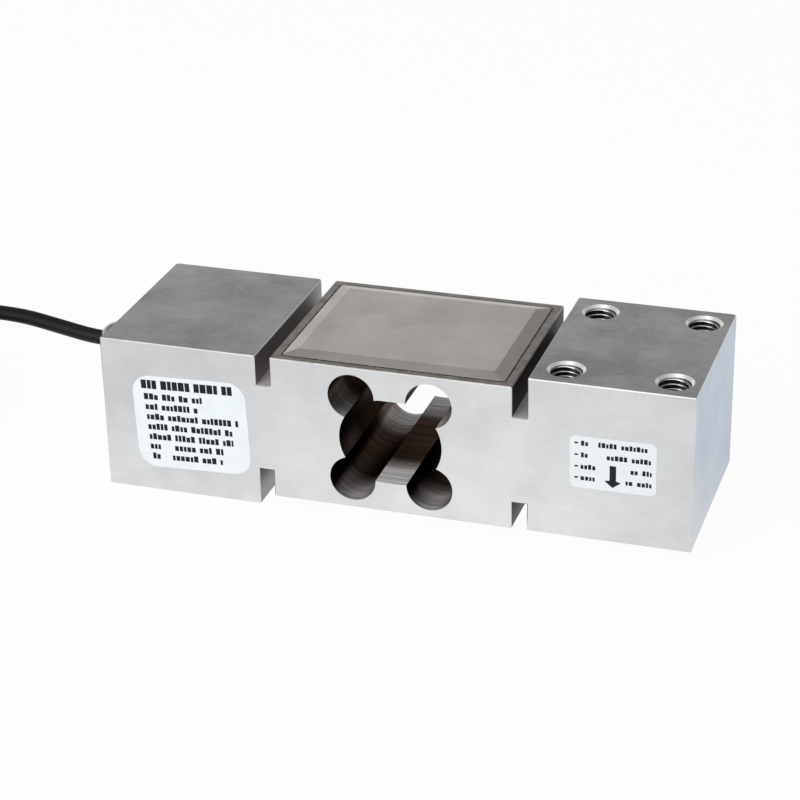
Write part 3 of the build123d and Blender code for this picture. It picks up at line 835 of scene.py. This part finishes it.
seams = [
    weld_seam("top_weld", "top_cover", RIM_LEVELS[1]),
    weld_seam("bottom_weld", "bottom_cover", RIM_LEVELS[0]),
]
print("weld spots, in faces", [len(s.data.polygons) for s in seams])

# %% [markdown]
# ## Screw threads
#
# The mounting holes are tapped for 10 mm screws with a 1.5 mm pitch. The CAD bores have the
# thread's outer radius, so only the ridge that winds inwards is missing. One ridge is made
# in code as a small profile with a rounded crest, swept down a helix, with its ends run out
# to almost nothing. Geometry Nodes then set a copy in each hole of the pattern.

# %% Thread ridge
THREAD_RADIUS = 5.0 * MM
CREST_RADIUS = 4.19 * MM
THREAD_PITCH = 1.5 * MM
THREAD_DEPTH = 21.6 * MM
THREAD_START = 1.0 * MM
RIDGE_STEPS = 48
RUN_OUT_TURNS = 0.35
START_ANGLE = math.radians(209)
FLANK_ANGLE = math.radians(35)
CREST_ROUND = 0.16 * MM
CREST_POINTS = 5
BEDDED = 0.03 * MM
# At its two ends the ridge keeps this share of its height, so that no face has zero area.
END_SHARE = 0.02


def ridge_profile():
    """The ridge's section, from its upper foot round the crest: how far inwards, and how far up."""
    reach = THREAD_RADIUS - CREST_RADIUS - CREST_ROUND
    steepest = math.pi / 2 - FLANK_ANGLE
    crest = []
    for number in range(CREST_POINTS):
        tilt = steepest * (1 - 2 * number / (CREST_POINTS - 1))
        crest.append((reach + CREST_ROUND * math.cos(tilt), CREST_ROUND * math.sin(tilt)))
    foot = crest[0][1] + (crest[0][0] + BEDDED) * math.tan(FLANK_ANGLE)
    return [(-BEDDED, foot), *crest, (-BEDDED, -foot)]


def thread_ridge(name):
    """A right-handed ridge that winds down from just under the countersink."""
    profile = ridge_profile()
    count = len(profile)
    turns = (THREAD_DEPTH - THREAD_START) / THREAD_PITCH
    steps = round(turns * RIDGE_STEPS)
    points, faces = [], []
    for step in range(steps + 1):
        turn = step / RIDGE_STEPS
        rise = max(END_SHARE, min(1.0, turn / RUN_OUT_TURNS, (turns - turn) / RUN_OUT_TURNS))
        angle = START_ANGLE - 2 * math.pi * turn
        middle = -THREAD_START - turn * THREAD_PITCH
        for inwards, up in profile:
            radius = THREAD_RADIUS - inwards * rise
            points.append((radius * math.cos(angle), radius * math.sin(angle), middle + up * rise))
        if step:
            a, b = count * (step - 1), count * step
            faces += [(a + i, a + (i + 1) % count, b + (i + 1) % count, b + i) for i in range(count)]
    last = count * steps
    faces += [tuple(reversed(range(count))), tuple(range(last, last + count))]
    mesh = bpy.data.meshes.new(name)
    mesh.from_pydata(points, [], faces)
    for number, face in enumerate(mesh.polygons):
        face.use_smooth = number < count * steps and number % count != count - 1
    mesh.update()
    return mesh


def thread_tree(material):
    """A tree that sets the ridge in each corner of a bolt pattern."""
    tree, start, end = new_tree(
        "thread_pattern", Centre=(0.0, 0.0, 0.0), Turn=(0.0, 0.0, 0.0),
        Spacing_X=BOLT_SPACING[0], Spacing_Y=BOLT_SPACING[1],
    )
    sizes = start.outputs
    corners = place(tree, "GeometryNodeMeshGrid", None, {
        "Size X": sizes["Spacing_X"], "Size Y": sizes["Spacing_Y"], "Vertices X": 2, "Vertices Y": 2,
    })
    holes = place(tree, "GeometryNodeInstanceOnPoints", None, {
        "Points": corners.outputs[0], "Instance": sizes["Geometry"], "Rotation": sizes["Turn"],
    })
    moved = place(tree, "GeometryNodeTransform", None,
                  {"Geometry": holes.outputs[0], "Translation": sizes["Centre"]})
    close_tree(tree, end, moved.outputs[0], material)
    return tree


def cut_steel():
    """Bright steel left by the tap."""
    material, tree, shader = finish("cut steel", (0.72, 0.72, 0.73), 0.22, 1.0)
    where, _ = coordinates(tree)
    uneven_blur(tree, shader, noise(tree, where, 2500.0), least=0.12, span=0.2)
    return material


THREADS = thread_tree(cut_steel())


def threads(name, x, z, turn):
    """The four threads of one bolt pattern, turned about X."""
    return grow(name, THREADS, thread_ridge(name), Centre=(x, 0.0, z), Turn=(turn, 0.0, 0.0))


load_threads = threads("load_threads", BOLT_CENTRES[1], PAD_LEVELS[1], 0.0)
fixed_threads = threads("fixed_threads", BOLT_CENTRES[0], PAD_LEVELS[0], math.pi)
print("thread faces", len(load_threads.data.polygons), len(fixed_threads.data.polygons))

# %% [markdown]
# ## Stickers
#
# Two white film stickers sit on the front face. Their print is made plain here: rows of dark
# blocks in the rhythm of words, and an arrow. The blocks are thin raised ink, laid out about
# the sticker's middle and then tilted with it on the face.

# %% Sticker finishes
FILM_TONES = ((0.3, (0.84, 0.90, 0.935)), (0.7, (0.88, 0.93, 0.96)))
INK_TONES = ((0.35, (0.006, 0.006, 0.009)), (0.8, (0.022, 0.022, 0.028)))


def sticker_film():
    """Cool white film with a thin satin coat."""
    material, tree, shader = finish(
        "sticker film", (0.86, 0.915, 0.95), 0.42, Coat_Weight=0.15, Coat_Roughness=0.25,
    )
    where, _ = coordinates(tree)
    tint = ramp(tree, noise(tree, where, 160.0), *FILM_TONES)
    tree.links.new(tint, shader.inputs["Base Color"])
    tree.links.new(bumped(tree, noise(tree, where, 240.0, 2.0), 0.01 * MM), shader.inputs["Normal"])
    return material


def print_ink():
    """Dull ink, a little uneven."""
    material, tree, shader = finish("print ink", (0.012, 0.012, 0.016), 0.55, Specular_IOR_Level=0.2)
    where, _ = coordinates(tree)
    tint = ramp(tree, noise(tree, where, 2600.0, 2.0), *INK_TONES)
    tree.links.new(tint, shader.inputs["Base Color"])
    return material


FILM = sticker_film()
INK = print_ink()
for name in ("rating_label", "wiring_label"):
    wear(name, FILM)
print("stickers dressed")

# %% [markdown]
# A row is filled from left to right with blocks of a few widths, at two heights, and after
# every few blocks comes a gap like the one between words. Each row draws from a random
# generator of its own, so that a change to one row leaves the others alone.

# %% Rows of print
INK_THICKNESS = 0.02 * MM
# Sizes of the print, in mm, and the row height that the block widths are for.
BLOCK_WIDTHS = (0.9, 1.1, 1.25, 1.4)
WIDTHS_HEIGHT = 2.1
BLOCK_GAP = 0.29
WORD_GAP = 1.15
SMALLEST_REST = 0.5
TALL_ROW = 2.5
LOW_SHARE = 0.80
FIRST_WORD = (2, 6)
NEXT_WORDS = (2, 7)


def rectangle(left, low, right, high):
    """The four corners of an upright rectangle."""
    return [(left, low), (right, low), (right, high), (left, high)]


def word_blocks(left, right, middle, height, seed):
    """Blocks for a row of made-up words between two ends. A tall row has no low blocks."""
    choice = random.Random(seed)
    low_share = 1.0 if height > TALL_ROW else LOW_SHARE
    low = middle - height / 2
    blocks = []
    at = left
    letters = choice.randint(*FIRST_WORD)
    while at < right - SMALLEST_REST:
        wide = min(choice.choice(BLOCK_WIDTHS) * height / WIDTHS_HEIGHT, right - at)
        tall = height * choice.choice((low_share, low_share, 1.0))
        blocks.append(rectangle(at, low, at + wide, low + tall))
        at += wide + BLOCK_GAP
        letters -= 1
        if letters == 0:
            at += WORD_GAP
            letters = choice.randint(*NEXT_WORDS)
    return blocks


def print_rows(rows, height, seed):
    """Blocks of several rows, each given by its left end, its right end and its middle height."""
    blocks = []
    for number, (left, right, middle) in enumerate(rows):
        blocks += word_blocks(left, right, middle, height, seed + number)
    return blocks


def printed(name, outlines, label, tilt):
    """Thin raised ink on a sticker, with its outlines in mm about the sticker's centre."""
    lowest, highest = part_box(label)
    centre = ((lowest[0] + highest[0]) / 2, (lowest[2] + highest[2]) / 2)
    cos, sin = math.cos(tilt), math.sin(tilt)
    points, faces = [], []
    for outline in outlines:
        first = len(points)
        count = len(outline)
        for depth in (0.0, INK_THICKNESS):
            for u, v in outline:
                x = centre[0] + (u * cos - v * sin) * MM
                z = centre[1] + (u * sin + v * cos) * MM
                points.append((x, lowest[1] - depth, z))
        faces.append([first + count + i for i in range(count)])
        faces.append([first + i for i in reversed(range(count))])
        for i in range(count):
            j = (i + 1) % count
            faces.append([first + i, first + j, first + count + j, first + count + i])
    mesh = bpy.data.meshes.new(name)
    mesh.from_pydata(points, [], faces)
    mesh.materials.append(INK)
    piece = bpy.data.objects.new(name, mesh)
    scene.collection.objects.link(piece)
    return piece


print("printing tools ready")

# %% Large sticker
TITLE_ROWS = [(-16.0, 15.3, 13.0)]
TITLE_HEIGHT = 3.0
TITLE_SEED = 20
RATING_ROWS = [
    (-15.4, 4.3, 8.8),
    (-15.2, 3.1, 5.3),
    (-15.1, 15.9, 1.8),
    (-15.0, 14.2, -1.7),
    (-14.9, 13.7, -5.2),
    (-14.9, -11.4, -8.6),
    (-6.5, 10.0, -8.6),
    (-14.4, -11.2, -12.1),
    (-7.6, 9.5, -12.1),
]
RATING_HEIGHT = 2.15
RATING_SEED = 21
RATING_TILT = math.radians(2.2)

rating_outlines = print_rows(TITLE_ROWS, TITLE_HEIGHT, TITLE_SEED)
rating_outlines += print_rows(RATING_ROWS, RATING_HEIGHT, RATING_SEED)
rating_print = printed("rating_print", rating_outlines, "rating_label", RATING_TILT)
print("ink blocks on the large sticker", len(rating_outlines))

# %% Small sticker
WIRING_LEVELS = (6.4, 2.5, -1.4, -5.2)
LEFT_COLUMN = ((-9.8, -7.3), (-9.8, -7.3), (-9.9, -5.4), (-9.9, -5.4))
RIGHT_COLUMN = ((-4.5, 12.2), (-1.9, 12.0), (5.4, 11.8), (3.9, 11.8))
WIRING_HEIGHT = 1.65
WIRING_SEED = 60
WIRING_TILT = math.radians(0.6)
DASH_ENDS = (-11.8, -10.7)
DASH_RISE = 0.28
ARROW = [(-0.1, -7.5), (2.5, -5.6), (1.0, -5.15), (1.0, -0.1), (-1.0, -0.1), (-1.0, -5.15), (-2.6, -5.3)]

wiring_rows = [
    (*ends, level) for column in (LEFT_COLUMN, RIGHT_COLUMN) for ends, level in zip(column, WIRING_LEVELS)
]
wiring_outlines = [ARROW] + print_rows(wiring_rows, WIRING_HEIGHT, WIRING_SEED)
for level in WIRING_LEVELS:
    wiring_outlines.append(rectangle(DASH_ENDS[0], level - DASH_RISE, DASH_ENDS[1], level + DASH_RISE))
wiring_print = printed("wiring_print", wiring_outlines, "wiring_label", WIRING_TILT)
print("ink blocks on the small sticker", len(wiring_outlines))

# %% [markdown]
# ## Cable, gland and tie finishes
#
# The jacket is smooth black plastic with a soft shine. The gland is nickel-plated brass, its
# seal and washer black rubber, and the tie natural nylon.

# %% Small finishes
SHEEN_SPAN = 0.2
DARKEST_SHARE = 0.85


def jacket():
    """Black plastic with a soft shine."""
    material, tree, shader = finish("cable jacket", (0.006, 0.006, 0.008), 0.5, Specular_IOR_Level=0.22)
    where, _ = coordinates(tree)
    fine = noise(tree, where, 1500.0, 2.0)
    uneven_blur(tree, shader, fine, least=0.40, span=0.16)
    tree.links.new(bumped(tree, fine, 0.01 * MM, 0.5), shader.inputs["Normal"])
    return material


def nickel():
    """Plated brass with fine turning marks."""
    material, tree, shader = finish("nickel plate", (0.50, 0.49, 0.46), 0.3, 1.0)
    where, _ = coordinates(tree)
    uneven_blur(tree, shader, noise(tree, where, 800.0), least=0.2, span=0.2)
    grain = noise(tree, stretched(tree, where, (5200.0, 900.0, 900.0)), 1.0, 2.0)
    tree.links.new(bumped(tree, grain, 0.004 * MM, 0.6), shader.inputs["Normal"])
    return material


def plain_plastic(name, color, roughness):
    """Plastic, rubber or lacquer with a faint uneven sheen."""
    material, tree, shader = finish(name, color, roughness)
    where, _ = coordinates(tree)
    fine = noise(tree, where, 900.0, 2.0)
    uneven_blur(tree, shader, fine, least=roughness - SHEEN_SPAN / 2, span=SHEEN_SPAN)
    dark = tuple(c * DARKEST_SHARE for c in color)
    tree.links.new(ramp(tree, fine, (0.3, dark), (0.7, color)), shader.inputs["Base Color"])
    tree.links.new(bumped(tree, fine, 0.008 * MM, 0.5), shader.inputs["Normal"])
    return material


JACKET = jacket()
NICKEL = nickel()
RUBBER = plain_plastic("black rubber", (0.02, 0.02, 0.02), 0.7)
signal_cable.data.materials.append(JACKET)
wear("inner_cable", JACKET)
for name in ("gland_body", "gland_nut"):
    wear(name, NICKEL)
for name in ("gland_seal", "gland_washer"):
    wear(name, RUBBER)
wear("cable_tie", plain_plastic("natural nylon", (0.78, 0.78, 0.74), 0.42))
wear("end_sleeve", plain_plastic("shrink sleeve", (0.022, 0.022, 0.024), 0.5))
print("small finishes ready")

# %% [markdown]
# ## Stripped end
#
# The far end is cut back for wiring: six coloured cores and the twisted screen fan out of a
# short sleeve. Their solids are in the CAD model, as are the same six cores inside the block,
# so here they only get their colours.

# %% Core colours
CORE_COLOURS = {
    "red": (0.60, 0.02, 0.02),
    "yellow": (0.80, 0.60, 0.03),
    "black": (0.015, 0.015, 0.015),
    "blue": (0.02, 0.08, 0.50),
    "green": (0.02, 0.30, 0.06),
    "white": (0.82, 0.82, 0.80),
}
for colour, rgb in CORE_COLOURS.items():
    skin = plain_plastic(f"{colour} core", rgb, 0.35)
    wear(f"inner_{colour}_core", skin)
    wear(f"end_{colour}_core", skin)


def tinned_copper():
    """Bright metal with an uneven surface, for bare strands and for solder."""
    material, tree, shader = finish("tinned copper", (0.74, 0.71, 0.66), 0.28, 1.0)
    where, _ = coordinates(tree)
    strands = noise(tree, where, 4000.0, 2.0)
    tree.links.new(bumped(tree, strands, 0.05 * MM), shader.inputs["Normal"])
    return material


wear("end_screen", tinned_copper())
print("cores", len(CORE_COLOURS))

# %% [markdown]
# ## Inside
#
# Under the covers lie the gauges, their leads and a small terminal board. Nothing shows them
# in a closed load cell, but they keep their true finishes for anyone who takes a cover off.

# %% Inside finishes
GRID_PITCH = 0.4 * MM
GRID_TONES = ((0.35, (0.74, 0.44, 0.13)), (0.65, (0.52, 0.48, 0.42)))


def foil_film():
    """Amber film with the gauge's metal grid showing through."""
    material, tree, shader = finish("gauge film", (0.72, 0.42, 0.12), 0.3)
    where, _ = coordinates(tree)
    y = split_xyz(tree, where)[1]
    lines = math_of(tree, "SINE", product(tree, y, 2 * math.pi / GRID_PITCH))
    tree.links.new(ramp(tree, lines, *GRID_TONES), shader.inputs["Base Color"])
    return material


INSIDE_FINISHES = {
    "_gauge": foil_film(),
    "_leads": plain_plastic("enamelled copper", (0.70, 0.28, 0.10), 0.3),
    "_board": plain_plastic("board lacquer", (0.03, 0.26, 0.10), 0.3),
    "_pads": tinned_copper(),
    "_resistor": plain_plastic("black ceramic", (0.03, 0.03, 0.035), 0.35),
}
for name in nodes:
    for ending, material in INSIDE_FINISHES.items():
        if name.endswith(ending):
            wear(name, material)
print("inside dressed")

# %% [markdown]
# ## Handing the pieces to the frame
#
# Every new piece rides on one body, because the load cell has no moving joint. The cable's
# pieces from the CAD model are hidden, as the curve replaces them, and the pieces that sit on
# the cable are listed.

# %% Ride and replace
on_cable = ["gland_body", "gland_nut", "gland_seal", "gland_washer", "inner_cable", "cable_tie", "end_sleeve"]
on_cable += [f"{stretch}_{colour}_core" for colour in CORE_COLOURS for stretch in ("inner", "end")]
on_cable.append("end_screen")
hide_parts("cable", "cable_coil", "cable_tail")
for piece, slot in (
    (signal_cable, "cable_jacket"),
    (seams[0], "steel"),
    (seams[1], "steel"),
    (load_threads, "steel"),
    (fixed_threads, "steel"),
    (rating_print, "sticker"),
    (wiring_print, "sticker"),
):
    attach(piece, BODY)
print("pieces on the cable", len(on_cable))

# %% Last update
bpy.context.view_layer.update()
